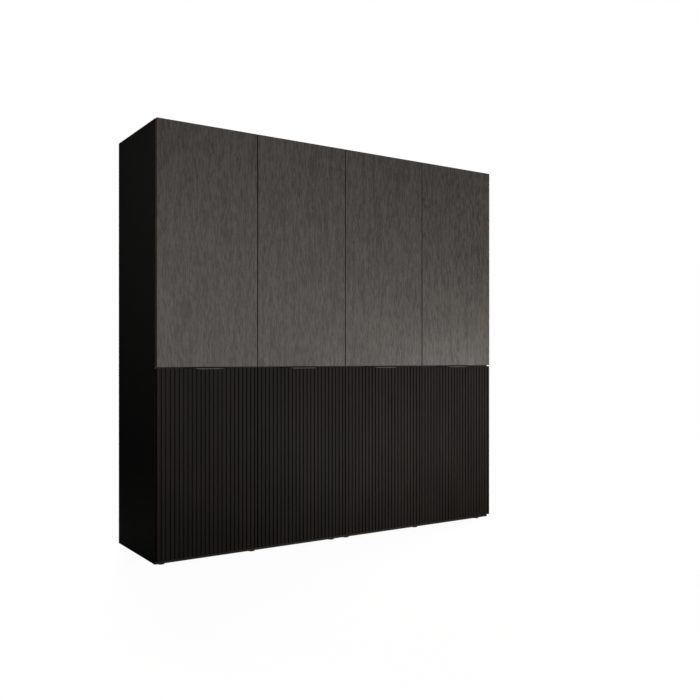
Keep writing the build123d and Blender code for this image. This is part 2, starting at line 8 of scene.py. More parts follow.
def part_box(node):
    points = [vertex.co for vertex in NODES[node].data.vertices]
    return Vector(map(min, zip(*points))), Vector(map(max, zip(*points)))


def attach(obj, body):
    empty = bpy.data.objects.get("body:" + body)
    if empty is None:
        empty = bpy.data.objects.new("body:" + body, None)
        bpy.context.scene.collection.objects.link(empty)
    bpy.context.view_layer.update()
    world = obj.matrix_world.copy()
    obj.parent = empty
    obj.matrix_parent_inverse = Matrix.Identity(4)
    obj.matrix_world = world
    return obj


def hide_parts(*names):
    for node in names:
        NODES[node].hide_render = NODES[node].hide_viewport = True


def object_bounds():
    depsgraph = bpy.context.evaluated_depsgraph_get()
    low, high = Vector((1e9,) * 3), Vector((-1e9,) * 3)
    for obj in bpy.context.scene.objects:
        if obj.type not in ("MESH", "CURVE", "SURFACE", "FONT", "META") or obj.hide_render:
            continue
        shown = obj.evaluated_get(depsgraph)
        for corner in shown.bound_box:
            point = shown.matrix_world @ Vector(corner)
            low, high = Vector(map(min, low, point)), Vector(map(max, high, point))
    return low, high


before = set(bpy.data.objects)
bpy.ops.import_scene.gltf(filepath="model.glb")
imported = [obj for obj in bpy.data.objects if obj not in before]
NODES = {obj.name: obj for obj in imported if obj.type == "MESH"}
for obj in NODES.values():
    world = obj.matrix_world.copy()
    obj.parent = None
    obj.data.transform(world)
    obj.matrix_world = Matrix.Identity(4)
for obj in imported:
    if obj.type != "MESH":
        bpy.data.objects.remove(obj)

bl_info = {
    "name": "Fluted Wardrobe",
    "version": (1, 0, 0),
    "blender": (4, 5, 0),
    "location": "View3D > Sidebar > Wardrobe",
    "description": "Finishes, fittings and studio for a wardrobe with fluted lower doors",
    "category": "Object",
}

CAD_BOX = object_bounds()
COLUMNS = (1, 2, 3, 4)
LEVELS = ("upper", "lower")
DOOR_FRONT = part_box("upper_door_1")[0].y
COLUMN_MIDDLES = (-0.75, -0.25, 0.25, 0.75)

# Screws, in metres. A sink is how far a head starts below the face that it stands on.
HEAD_HEIGHT = 0.0014
SHANK_RADIUS = 0.0025
CROSS_DEPTH = 0.0009
EAR_END = 0.0065  # from the edges of a hinge cup's box to the screws in its ears
ARM_SCREWS = ((0.017, 0.0032), (0.043, 0.0040))  # distance behind the arm's front end, radius
ARM_SCREW_DOME = 0.0010
SCREW_SINK = 0.0002
CUP_SCREW_RADIUS = 0.0037
CUP_SCREW_DOME = 0.0008
CUP_SCREW_SINK = 0.0003
PULL_SCREWS = (-0.085, 0.0, 0.085)  # from the handle's middle
PULL_SCREW_RADIUS = 0.0034
PULL_SCREW_DOME = 0.0007
PULL_SCREW_SINK = 0.0004


# ---------------------------------------------------------------- settings
class WardrobeFronts(bpy.types.PropertyGroup):
    """Colours and grain of the doors"""

    upper_light: bpy.props.FloatVectorProperty(
        name="Upper door light grain", description="Lighter wood between the pores",
        subtype="COLOR", size=3, min=0, max=1, default=(0.124, 0.114, 0.107),
    )
    upper_dark: bpy.props.FloatVectorProperty(
        name="Upper door dark grain", description="Pores and darker growth lines",
        subtype="COLOR", size=3, min=0, max=1, default=(0.050, 0.045, 0.041),
    )
    lacquer: bpy.props.FloatVectorProperty(
        name="Lacquer", description="Satin lacquer of the fluted doors",
        subtype="COLOR", size=3, min=0, max=1, default=(0.0054, 0.0040, 0.0027),
    )
    grain_width: bpy.props.FloatProperty(
        name="Grain width", description="Width of one streak of the grain",
        subtype="DISTANCE", unit="LENGTH", min=0.0005, default=0.0046,
    )
    grain_length: bpy.props.FloatProperty(
        name="Grain length", description="Length of one streak of the grain",
        subtype="DISTANCE", unit="LENGTH", min=0.005, default=0.038,
    )


class WardrobeHandles(bpy.types.PropertyGroup):
    """Sheet and finish of the handles"""

    sheet: bpy.props.FloatProperty(
        name="Sheet", description="Thickness of the folded sheet",
        subtype="DISTANCE", unit="LENGTH", min=0.0005, default=0.002,
    )
    lip_height: bpy.props.FloatProperty(
        name="Lip height", description="Height of the lip at its middle",
        subtype="DISTANCE", unit="LENGTH", min=0.002, default=0.006,
    )
    lip_width: bpy.props.FloatProperty(
        name="Lip width", description="Straight part of the lip",
        subtype="DISTANCE", unit="LENGTH", min=0.02, default=0.112,
    )
    bend_radius: bpy.props.FloatProperty(
        name="Bend radius", description="Radius of the folds at the middle of the sheet",
        subtype="DISTANCE", unit="LENGTH", min=0.0012, default=0.0024,
    )
    metal: bpy.props.FloatVectorProperty(
        name="Metal", description="Dark anodised metal",
        subtype="COLOR", size=3, min=0, max=1, default=(0.075, 0.072, 0.070),
    )


class WardrobeCarcass(bpy.types.PropertyGroup):
    """Colours of the boards and the fittings"""

    board: bpy.props.FloatVectorProperty(
        name="Board", description="Black foil of the panels and shelves",
        subtype="COLOR", size=3, min=0, max=1, default=(0.0060, 0.0058, 0.0060),
    )
    edging: bpy.props.FloatVectorProperty(
        name="Edging", description="Edge band on the boards' front edges",
        subtype="COLOR", size=3, min=0, max=1, default=(0.010, 0.0098, 0.010),
    )
    # the shelves and partitions are painted paler than the outer boards: painted light for the dim
    # inside of the cabinets
    inside_painted_lift: bpy.props.FloatProperty(
        name="Inside painted light", description="How much paler the shelves and partitions are",
        min=0.2, default=2.2,
    )
    hardboard: bpy.props.FloatVectorProperty(
        name="Hardboard", description="Back panels",
        subtype="COLOR", size=3, min=0, max=1, default=(0.020, 0.0188, 0.0175),
    )
    nickel: bpy.props.FloatVectorProperty(
        name="Nickel", description="Plated steel of the hinges",
        subtype="COLOR", size=3, min=0, max=1, default=(0.56, 0.55, 0.53),
    )
    plastic: bpy.props.FloatVectorProperty(
        name="Plastic", description="Feet and latches",
        subtype="COLOR", size=3, min=0, max=1, default=(0.022, 0.022, 0.023),
    )


class WardrobeStudio(bpy.types.PropertyGroup):
    """Lights and camera"""

    front_power: bpy.props.FloatProperty(
        name="Front light", description="Large soft light far in front",
        subtype="POWER", unit="POWER", min=0, default=89.0,
    )
    strip_power: bpy.props.FloatProperty(
        name="Strip lights", description="All the low soft strips in front together",
        subtype="POWER", unit="POWER", min=0, default=23.2,
    )
    back_power: bpy.props.FloatProperty(
        name="Back lights", description="Soft lights behind and on the right, for the other sides",
        subtype="POWER", unit="POWER", min=0, default=34.0,
    )
    left_power: bpy.props.FloatProperty(
        name="Left light", description="Small soft light on the left side panel",
        subtype="POWER", unit="POWER", min=0, default=2.8,
    )
    room_level: bpy.props.FloatProperty(
        name="Room", description="Even light from all around", min=0, default=0.055,
    )
    tint: bpy.props.FloatVectorProperty(
        name="Tint", description="Colour of all the lights",
        subtype="COLOR", size=3, min=0, max=1, default=(1.0, 0.955, 0.91),
    )
    lens: bpy.props.FloatProperty(
        name="Lens", description="Focal length on a 36 mm sensor, in millimetres",
        min=10, default=41.53,
    )


# ---------------------------------------------------------------- node helpers
def new_material(name):
    """A material with one Principled shader, and that shader."""
    material = bpy.data.materials.new(name)
    material.use_nodes = True
    material.node_tree.nodes.clear()
    shader = material.node_tree.nodes.new("ShaderNodeBsdfPrincipled")
    output = material.node_tree.nodes.new("ShaderNodeOutputMaterial")
    material.node_tree.links.new(shader.outputs[0], output.inputs[0])
    return material, shader


def new_group(name, inputs, outputs):
    """A shader node group: float inputs are given as (name, default), outputs as (name, type)."""
    group = bpy.data.node_groups.new(name, "ShaderNodeTree")
    for label, default in inputs:
        socket = group.interface.new_socket(label, in_out="INPUT", socket_type="NodeSocketFloat")
        socket.default_value = default
    for label, kind in outputs:
        group.interface.new_socket(label, in_out="OUTPUT", socket_type=kind)
    source = group.nodes.new("NodeGroupInput")
    target = group.nodes.new("NodeGroupOutput")
    return group, source, target


def place(tree, group, **values):
    """Put a node group in a material with its own values."""
    node = tree.nodes.new("ShaderNodeGroup")
    node.node_tree = group
    for label, value in values.items():
        node.inputs[label.replace("_", " ")].default_value = value
    return node


def math_node(tree, operation, a, b=None, c=None):
    """A Math node; each value is a socket or a number."""
    node = tree.nodes.new("ShaderNodeMath")
    node.operation = operation
    for socket, value in zip(node.inputs, (a, b, c)):
        if isinstance(value, bpy.types.NodeSocket):
            tree.links.new(value, socket)
        elif value is not None:
            socket.default_value = value
    return node.outputs[0]


def remap(tree, value, low, high, to_low, to_high):
    """A clamped, smooth remap of a value."""
    node = tree.nodes.new("ShaderNodeMapRange")
    node.interpolation_type = "SMOOTHSTEP"
    tree.links.new(value, node.inputs["Value"])
    limits = {"From Min": low, "From Max": high, "To Min": to_low, "To Max": to_high}
    for label, number in limits.items():
        node.inputs[label].default_value = number
    return node.outputs["Result"]


def mix_colour(tree, factor, a, b):
    """A colour between a and b; each is a socket or three numbers."""
    node = tree.nodes.new("ShaderNodeMix")
    node.data_type = "RGBA"
    for socket, value in ((node.inputs["Factor"], factor), (node.inputs[6], a), (node.inputs[7], b)):
        if isinstance(value, bpy.types.NodeSocket):
            tree.links.new(value, socket)
        elif isinstance(value, (int, float)):
            socket.default_value = value
        else:
            socket.default_value = (*value, 1)
    return node.outputs[2]


def bump(tree, shader, height, distance, strength=1.0):
    """Feed a height, in metres once multiplied by distance, to the shader's normal."""
    node = tree.nodes.new("ShaderNodeBump")
    node.inputs["Strength"].default_value = strength
    node.inputs["Distance"].default_value = distance
    tree.links.new(height, node.inputs["Height"])
    tree.links.new(node.outputs[0], shader.inputs["Normal"])


def object_place(tree):
    """Coordinates that stay with the piece when it moves."""
    return tree.nodes.new("ShaderNodeTexCoord").outputs["Object"]


def stretched_noise(tree, place_socket, scale, detail, roughness=0.55, distortion=0.0):
    """Noise with its own repeats per metre along X, Y and Z: three numbers or three sockets."""
    mapping = tree.nodes.new("ShaderNodeMapping")
    tree.links.new(place_socket, mapping.inputs["Vector"])
    if any(isinstance(value, bpy.types.NodeSocket) for value in scale):
        combine = tree.nodes.new("ShaderNodeCombineXYZ")
        for value, socket in zip(scale, combine.inputs):
            tree.links.new(value, socket)
        tree.links.new(combine.outputs[0], mapping.inputs["Scale"])
    else:
        mapping.inputs["Scale"].default_value = scale
    noise = tree.nodes.new("ShaderNodeTexNoise")
    noise.inputs["Scale"].default_value = 1.0
    noise.inputs["Detail"].default_value = detail
    noise.inputs["Roughness"].default_value = roughness
    noise.inputs["Distortion"].default_value = distortion
    tree.links.new(mapping.outputs[0], noise.inputs["Vector"])
    return noise.outputs["Fac"]


# ---------------------------------------------------------------- shared effects
def wood_grain_group():
    """Upright wood grain: growth lines, short pores and slow changes of tone."""
    group, source, target = new_group(
        "Wood grain",
        (("Width", 0.003), ("Length", 0.055), ("Pores", 0.5)),
        (("Tone", "NodeSocketFloat"), ("Pore mask", "NodeSocketFloat"), ("Height", "NodeSocketFloat")),
    )
    where = object_place(group)
    across = math_node(group, "DIVIDE", 1.0, source.outputs["Width"])
    along = math_node(group, "DIVIDE", 1.0, source.outputs["Length"])
    streaks = stretched_noise(group, where, (across, across, along), 3.0, 0.68, 0.25)
    broad_across = math_node(group, "MULTIPLY", across, 0.16)
    broad_along = math_node(group, "MULTIPLY", along, 0.11)
    broad = stretched_noise(group, where, (broad_across, broad_across, broad_along), 2.0, 0.5, 0.4)
    pore_across = math_node(group, "MULTIPLY", across, 2.3)
    pore_along = math_node(group, "MULTIPLY", along, 1.6)
    fine = stretched_noise(group, where, (pore_across, pore_across, pore_along), 1.0)
    pore = remap(group, fine, 0.56, 0.70, 0.0, 1.0)
    pore = math_node(group, "MULTIPLY", pore, source.outputs["Pores"])
    tone = math_node(group, "MULTIPLY_ADD", broad, 0.22, math_node(group, "MULTIPLY", streaks, 0.78))
    tone = remap(group, tone, 0.37, 0.63, 0.0, 1.0)
    height = math_node(group, "SUBTRACT", math_node(group, "MULTIPLY", tone, 0.35), pore)
    for label, value in (("Tone", tone), ("Pore mask", pore), ("Height", height)):
        group.links.new(value, target.inputs[label])
    return group


def edge_wear_and_highlight_group():
    """Mask that is 1 on sharp outer edges, broken up by a fine noise; it marks wear and also a painted
    highlight where a rounded edge would catch the light.
    """
    group, source, target = new_group(
        "Worn edge and painted highlight", (("Radius", 0.001), ("Break up", 0.5)), (("Mask", "NodeSocketFloat"),)
    )
    bevel = group.nodes.new("ShaderNodeBevel")
    bevel.samples = 4
    group.links.new(source.outputs["Radius"], bevel.inputs["Radius"])
    geometry = group.nodes.new("ShaderNodeNewGeometry")
    dot = group.nodes.new("ShaderNodeVectorMath")
    dot.operation = "DOT_PRODUCT"
    group.links.new(bevel.outputs[0], dot.inputs[0])
    group.links.new(geometry.outputs["Normal"], dot.inputs[1])
    turned = math_node(group, "SUBTRACT", 1.0, dot.outputs["Value"])
    edge = remap(group, turned, 0.02, 0.25, 0.0, 1.0)
    speckle = stretched_noise(group, object_place(group), (160.0, 160.0, 160.0), 3.0)
    broken = remap(group, speckle, 0.35, 0.65, 0.0, 1.0)
    lost = math_node(group, "MULTIPLY", broken, source.outputs["Break up"])
    kept = math_node(group, "SUBTRACT", 1.0, lost)
    group.links.new(math_node(group, "MULTIPLY", edge, kept), target.inputs["Mask"])
    return group


def handling_group():
    """Uneven gloss: cloudy smears, fine specks and settled dust on faces that look up."""
    group, source, target = new_group(
        "Handling",
        (("Smears", 0.5), ("Dust", 0.5)),
        (("Gloss change", "NodeSocketFloat"), ("Dust mask", "NodeSocketFloat")),
    )
    where = object_place(group)
    cloud = stretched_noise(group, where, (5.0, 5.0, 3.2), 4.0, 0.6, 0.6)
    smear = stretched_noise(group, where, (38.0, 38.0, 17.0), 3.0, 0.6, 1.2)
    both = math_node(group, "MULTIPLY_ADD", cloud, 0.6, math_node(group, "MULTIPLY", smear, 0.4))
    centred = math_node(group, "SUBTRACT", both, 0.5)
    change = math_node(group, "MULTIPLY", centred, source.outputs["Smears"])
    geometry = group.nodes.new("ShaderNodeNewGeometry")
    split = group.nodes.new("ShaderNodeSeparateXYZ")
    group.links.new(geometry.outputs["Normal"], split.inputs[0])
    upward = remap(group, split.outputs["Z"], 0.5, 0.95, 0.0, 1.0)
    speck = stretched_noise(group, where, (240.0, 240.0, 240.0), 4.0, 0.7)
    dust = math_node(group, "MULTIPLY", upward, remap(group, speck, 0.42, 0.72, 0.0, 1.0))
    dust = math_node(group, "MULTIPLY", dust, source.outputs["Dust"])
    group.links.new(change, target.inputs["Gloss change"])
    group.links.new(dust, target.inputs["Dust mask"])
    return group


def fine_texture_group():
    """Fine pebbled skin of foil, lacquer, moulded plastic and cast metal."""
    group, source, target = new_group(
        "Fine texture", (("Repeat", 900.0), ("Upright", 1.0)), (("Height", "NodeSocketFloat"),)
    )
    upright = math_node(group, "DIVIDE", source.outputs["Repeat"], source.outputs["Upright"])
    repeat = source.outputs["Repeat"]
    noise = stretched_noise(group, object_place(group), (repeat, repeat, upright), 2.0, 0.6)
    group.links.new(noise, target.inputs["Height"])
    return group


# ---------------------------------------------------------------- finishes
DUST_COLOUR = (0.20, 0.19, 0.175)


def finish_surface(tree, shader, colour, roughness, worn_highlight_tint, edge_radius, smears, dust):
    """Shared last step of a finish: edges lightened as wear and as a painted edge highlight, dust and
    uneven gloss.
    """
    wear_and_highlight = place(tree, bpy.data.node_groups["Worn edge and painted highlight"], Radius=edge_radius, Break_up=0.6)
    use = place(tree, bpy.data.node_groups["Handling"], Smears=smears, Dust=dust)
    # lighter tint on the edges: partly wear, partly a painted edge highlight
    worn_and_highlit = mix_colour(tree, math_node(tree, "MULTIPLY", wear_and_highlight.outputs["Mask"], 0.6), colour, worn_highlight_tint)
    settled = math_node(tree, "MULTIPLY", use.outputs["Dust mask"], 0.5)
    dusty = mix_colour(tree, settled, worn_and_highlit, DUST_COLOUR)
    tree.links.new(dusty, shader.inputs["Base Color"])
    gloss = math_node(tree, "ADD", roughness, use.outputs["Gloss change"])
    gloss = math_node(tree, "MULTIPLY_ADD", use.outputs["Dust mask"], 0.25, gloss)
    tree.links.new(gloss, shader.inputs["Roughness"])


def grained_finish():
    """Brushed wood grain of the upper doors, warm dark grey."""
    fronts = bpy.context.scene.wardrobe_fronts
    material, shader = new_material("grained_front")
    tree = material.node_tree
    grain = place(
        tree, bpy.data.node_groups["Wood grain"],
        Width=fronts.grain_width, Length=fronts.grain_length, Pores=0.6,
    )
    wood = mix_colour(tree, grain.outputs["Tone"], fronts.upper_dark, fronts.upper_light)
    pores = [channel * 0.55 for channel in fronts.upper_dark]
    wood = mix_colour(tree, math_node(tree, "MULTIPLY", grain.outputs["Pore mask"], 0.6), wood, pores)
    roughness = math_node(tree, "MULTIPLY_ADD", grain.outputs["Pore mask"], 0.18, 0.44)
    # lighter edge tint: wear and a painted edge highlight
    finish_surface(tree, shader, wood, roughness, (0.15, 0.14, 0.13), 0.0012, 0.10, 0.5)
    shader.inputs["Specular IOR Level"].default_value = 0.5
    bump(tree, shader, grain.outputs["Height"], 0.00018, 0.8)
    return material


def lacquer_finish():
    """Black satin lacquer of the fluted doors, with a faint orange peel."""
    fronts = bpy.context.scene.wardrobe_fronts
    material, shader = new_material("fluted_lacquer")
    tree = material.node_tree
    skin = place(tree, bpy.data.node_groups["Fine texture"], Repeat=700.0, Upright=3.0)
    cloud = stretched_noise(tree, object_place(tree), (7.0, 7.0, 2.0), 3.0)
    light = [channel * 1.5 for channel in fronts.lacquer]
    colour = mix_colour(tree, remap(tree, cloud, 0.35, 0.65, 0.0, 1.0), fronts.lacquer, light)
    roughness = math_node(tree, "MULTIPLY_ADD", skin.outputs["Height"], 0.10, 0.46)
    # lighter edge tint: wear and a painted edge highlight
    finish_surface(tree, shader, colour, roughness, (0.012, 0.0115, 0.011), 0.0010, 0.12, 0.25)
    shader.inputs["Specular IOR Level"].default_value = 0.17
    bump(tree, shader, skin.outputs["Height"], 0.00005, 0.6)
    return material


def board_finish(name, painted_lift):
    """Black foil with a fine upright grain and banded front edges; painted_lift above 1 makes it paler:
    painted light for the boards inside the cabinets.
    """
    carcass = bpy.context.scene.wardrobe_carcass
    material, shader = new_material(name)
    tree = material.node_tree
    grain = place(tree, bpy.data.node_groups["Wood grain"], Width=0.0028, Length=0.05, Pores=0.4)
    dark = [channel * 0.7 * painted_lift for channel in carcass.board]
    light = [channel * 1.5 * painted_lift for channel in carcass.board]
    foil = mix_colour(tree, grain.outputs["Tone"], dark, light)
    geometry = tree.nodes.new("ShaderNodeNewGeometry")
    split = tree.nodes.new("ShaderNodeSeparateXYZ")
    tree.links.new(geometry.outputs["Normal"], split.inputs[0])
    forward = math_node(tree, "MULTIPLY", split.outputs["Y"], -1.0)
    frontward = remap(tree, forward, 0.7, 0.95, 0.0, 1.0)
    colour = mix_colour(tree, frontward, foil, carcass.edging)
    roughness = math_node(tree, "MULTIPLY_ADD", grain.outputs["Pore mask"], 0.12, 0.46)
    # lighter edge tint: wear and a painted edge highlight
    finish_surface(tree, shader, colour, roughness, (0.018, 0.0172, 0.0165), 0.0010, 0.14, 0.35)
    shader.inputs["Specular IOR Level"].default_value = 0.35
    bump(tree, shader, grain.outputs["Height"], 0.00008, 0.7)
    return material


def hardboard_finish():
    """Thin fibre board: matt, with short random fibres."""
    carcass = bpy.context.scene.wardrobe_carcass
    material, shader = new_material("back_board")
    tree = material.node_tree
    where = object_place(tree)
    fibre = stretched_noise(tree, where, (420.0, 420.0, 420.0), 5.0, 0.75, 2.0)
    blotch = stretched_noise(tree, where, (9.0, 9.0, 9.0), 4.0)
    light = [channel * 1.9 for channel in carcass.hardboard]
    tone = math_node(tree, "MULTIPLY_ADD", fibre, 0.7, math_node(tree, "MULTIPLY", blotch, 0.3))
    colour = mix_colour(tree, remap(tree, tone, 0.38, 0.62, 0.0, 1.0), carcass.hardboard, light)
    roughness = math_node(tree, "MULTIPLY_ADD", fibre, 0.15, 0.62)
    # lighter edge tint: wear and a painted edge highlight
    finish_surface(tree, shader, colour, roughness, (0.05, 0.046, 0.042), 0.0008, 0.08, 0.4)
    bump(tree, shader, fibre, 0.00015, 0.6)
    return material


def metal_finish(name, colour, roughness, brush, worn_highlight_tint):
    """Metal with fine brushing along X; a higher brush value makes it stronger."""
    material, shader = new_material(name)
    tree = material.node_tree
    lines = stretched_noise(tree, object_place(tree), (30.0, 2600.0, 2600.0), 2.0, 0.6)
    dark = [channel * (1.0 - 0.18 * brush) for channel in colour]
    tone = mix_colour(tree, remap(tree, lines, 0.35, 0.65, 0.0, 1.0), dark, colour)
    level = math_node(tree, "MULTIPLY_ADD", lines, 0.16 * brush, roughness)
    finish_surface(tree, shader, tone, level, worn_highlight_tint, 0.0006, 0.16, 0.3)
    shader.inputs["Metallic"].default_value = 1.0
    bump(tree, shader, lines, 0.00002 * brush, 0.5)
    return material


def plastic_finish(name, colour, roughness, clear=0.0):
    """Moulded plastic or rubber with a spark-eroded texture."""
    material, shader = new_material(name)
    tree = material.node_tree
    skin = place(tree, bpy.data.node_groups["Fine texture"], Repeat=1600.0, Upright=1.0)
    light = [min(channel * 1.35, 1.0) for channel in colour]
    tone = mix_colour(tree, remap(tree, skin.outputs["Height"], 0.35, 0.65, 0.0, 1.0), colour, light)
    level = math_node(tree, "MULTIPLY_ADD", skin.outputs["Height"], 0.14, roughness)
    # lighter edge tint: wear and a painted edge highlight
    finish_surface(tree, shader, tone, level, [channel * 2.2 for channel in colour], 0.0005, 0.10, 0.5)
    shader.inputs["Transmission Weight"].default_value = clear
    bump(tree, shader, skin.outputs["Height"], 0.00005, 0.6)
    return material


def dress(names, material):
    """Give CAD nodes a material in every slot."""
    for name in names:
        slots = NODES[name].data.materials
        slots.clear()
        slots.append(material)


# ---------------------------------------------------------------- mesh helpers
def new_piece(name, mesh, material, body):
    """An object for one piece, riding on its body and taking its finish from a slot."""
    piece = bpy.data.objects.new(name, mesh)
    bpy.context.scene.collection.objects.link(piece)
    mesh.materials.append(material)
    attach(piece, body)
    return piece


def smooth_mesh(name, bm, angle=35.0):
    """A mesh from bmesh, smooth except at edges sharper than the angle."""
    bmesh.ops.recalc_face_normals(bm, faces=bm.faces)
    mesh = bpy.data.meshes.new(name)
    bm.to_mesh(mesh)
    bm.free()
    mesh.shade_smooth()
    mesh.set_sharp_from_angle(angle=math.radians(angle))
    return mesh


def smoothstep(value):
    value = min(max(value, 0.0), 1.0)
    return value * value * (3.0 - 2.0 * value)


def add_screw_head(bm, middle, axis, radius, dome):
    """A domed screw head with a cross recess, standing on a point along an axis."""
    rings, spokes = 12, 48
    turn = Vector(axis).to_track_quat("Z", "Y").to_matrix().to_4x4()
    move = Matrix.Translation(middle) @ turn
    arm = radius * 0.62
    width = radius * 0.13

    def height(x, y):
        distance = math.hypot(x, y) / radius
        top = dome * (1.0 - 0.55 * distance ** 4)
        across = max(smoothstep((width - abs(x)) / (width * 0.5)) * smoothstep((arm - abs(y)) / width),
                     smoothstep((width - abs(y)) / (width * 0.5)) * smoothstep((arm - abs(x)) / width))
        return top - CROSS_DEPTH * across

    centre = bm.verts.new(move @ Vector((0, 0, height(0, 0))))
    loops = []
    for i in range(1, rings + 1):
        r = radius * i / rings
        loop = []
        for j in range(spokes):
            angle = 2 * math.pi * j / spokes
            x, y = r * math.cos(angle), r * math.sin(angle)
            loop.append(bm.verts.new(move @ Vector((x, y, height(x, y)))))
        loops.append(loop)
    foot = [bm.verts.new(move @ Vector((radius * math.cos(2 * math.pi * j / spokes),
                                        radius * math.sin(2 * math.pi * j / spokes), 0.0)))
            for j in range(spokes)]
    loops.append(foot)
    for j in range(spokes):
        bm.faces.new((centre, loops[0][j], loops[0][(j + 1) % spokes]))
    for inner, outer in zip(loops, loops[1:]):
        for j in range(spokes):
            k = (j + 1) % spokes
            bm.faces.new((inner[j], outer[j], outer[k], inner[k]))
    bm.faces.new(list(reversed(foot)))


# ---------------------------------------------------------------- handles
FADE_OUT = 0.93  # share of the half length where the lip has gone
FADE_IN = 0.86  # share of the lip's half width where it starts to go
END_TURN = 0.0004  # how much of the fold is left at the handle's ends
LEAST_STEP = 0.00002
END_STEP = 0.0008
END_TUCK = 0.0003  # how far the sheet's faces draw in at its very ends


def handle_front(x, half, lip, front, tip):
    """Y of the handle's front edge: flush at its ends, out at the lip, with smooth shoulders."""
    share = (abs(x) - lip) / (half - lip)
    return tip + (front - tip) * smoothstep(share)


def handle_profile(x, sizes):
    """Middle line of the sheet at one place along the handle, from leg's foot to lip's edge."""
    half, lip, front, tip, back, top, foot, sheet, bend, lip_height = sizes
    y_leg = back - sheet / 2
    z_top = top - sheet / 2
    points = [Vector((y_leg, foot)), Vector((y_leg, (foot + z_top - bend) / 2))]
    steps = 6
    for i in range(steps + 1):
        angle = math.pi / 2 * i / steps
        points.append(Vector((y_leg - bend * (1 - math.cos(angle)),
                              z_top - bend * (1 - math.sin(angle)))))
    full = math.pi / 2 * bend + (lip_height - sheet / 2 - bend)
    fade = smoothstep((half * FADE_OUT - abs(x)) / (half * FADE_OUT - lip * FADE_IN))
    extra = END_TURN + (full - END_TURN) * fade
    angle_end = min(extra / bend, math.pi / 2)
    edge = handle_front(x, half, lip, front, tip) + sheet / 2
    y_bend = edge + bend * math.sin(angle_end)
    for i in range(1, 4):
        share = i / 4
        points.append(Vector((y_leg - bend + (y_bend - y_leg + bend) * share, z_top)))
    for i in range(steps + 1):
        angle = angle_end * i / steps
        points.append(Vector((y_bend - bend * math.sin(angle), z_top - bend * (1 - math.cos(angle)))))
    drop = max(extra - math.pi / 2 * bend, 0.0)
    for i in range(1, 4):
        points.append(points[-1] + Vector((0, -drop / 3 if drop > 0 else -LEAST_STEP)))
    return points


def handle_section(x, sizes):
    """Closed outline of the sheet at one place: the middle line, thickened, with rounded edges."""
    sheet = sizes[7]
    line = handle_profile(x, sizes)
    normals = []
    for i, point in enumerate(line):
        before = line[max(i - 1, 0)]
        after = line[min(i + 1, len(line) - 1)]
        along = (after - before).normalized()
        normals.append(Vector((-along.y, along.x)))
    outline = [p + n * sheet / 2 for p, n in zip(line, normals)]
    for end in (-1, 0):
        point, normal = line[end], normals[end]
        along = Vector((normal.y, -normal.x)) * (1 if end == -1 else -1)
        caps = [point + normal * (sheet / 2 * c) + along * (sheet / 2 * s * 0.5)
                for c, s in ((0.7, 0.7), (0.0, 1.0), (-0.7, 0.7))]
        if end == -1:
            outline += caps
            outline += [p - n * sheet / 2 for p, n in zip(reversed(line), reversed(normals))]
        else:
            outline += list(reversed(caps))
    return outline


def handle_stations(half):
    """Places along the handle: even steps, and a short step at each end."""
    count = 88
    inner = [-half + END_STEP + (2 * half - 2 * END_STEP) * i / count for i in range(count + 1)]
    return [-half] + inner + [half]


def build_handle(number, settings, material):
    """One folded handle that stands for the CAD one, with its screws."""
    node = f"handle_{number}"
    low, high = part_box(node)
    middle = (low.x + high.x) / 2
    half = (high.x - low.x) / 2
    sheet = settings.sheet
    door_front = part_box(f"lower_door_{number}")[0].y
    sizes = (half, settings.lip_width / 2, door_front, low.y, high.y, high.z, low.z,
             sheet, settings.bend_radius, settings.lip_height)
    bm = bmesh.new()
    loops = []
    for x in handle_stations(half):
        tuck = END_TUCK if abs(abs(x) - half) < 1e-6 else 0.0
        section = handle_section(x, sizes[:7] + (sheet - 2 * tuck,) + sizes[8:])
        loops.append([bm.verts.new((middle + x, p.x, p.y)) for p in section])
    for a, b in zip(loops, loops[1:]):
        for i in range(len(a)):
            j = (i + 1) % len(a)
            bm.faces.new((a[i], b[i], b[j], a[j]))
    bm.faces.new(loops[0])
    bm.faces.new(list(reversed(loops[-1])))
    body = f"lower_door_{number}_body"
    mesh = smooth_mesh(f"pull_{number}", bm)
    piece = new_piece(f"pull_{number}", mesh, material, body)
    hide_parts(node)
    bm = bmesh.new()
    for offset in PULL_SCREWS:
        spot = Vector((middle + offset, high.y - PULL_SCREW_SINK, (low.z + high.z) / 2 - sheet / 2))
        add_screw_head(bm, spot, (0, 1, 0), PULL_SCREW_RADIUS, PULL_SCREW_DOME)
    name = f"pull_screws_{number}"
    new_piece(name, smooth_mesh(name, bm), material, body)


# ---------------------------------------------------------------- hinges
def solid_boxes(name):
    """Corners of each separate solid of a CAD node, in the order of their height and side."""
    bm = bmesh.new()
    bm.from_mesh(NODES[name].data)
    bmesh.ops.remove_doubles(bm, verts=bm.verts, dist=1e-6)
    place_of = NODES[name].matrix_world
    left = set(bm.verts)
    boxes = []
    while left:
        stack = [left.pop()]
        found = []
        while stack:
            vert = stack.pop()
            found.append(place_of @ vert.co)
            for edge in vert.link_edges:
                other = edge.other_vert(vert)
                if other in left:
                    left.remove(other)
                    stack.append(other)
        low = Vector([min(point[i] for point in found) for i in range(3)])
        high = Vector([max(point[i] for point in found) for i in range(3)])
        boxes.append((low, high))
    bm.free()
    return sorted(boxes, key=lambda box: tuple(round(value, 4) for value in (*box[0], *box[1])))


def inward(box):
    """1 where the piece is screwed to a side on its left, -1 where it is on its right."""
    middle = (box[0].x + box[1].x) / 2
    column_middle = min(COLUMN_MIDDLES, key=lambda x: abs(x - middle))
    return 1 if middle < column_middle else -1


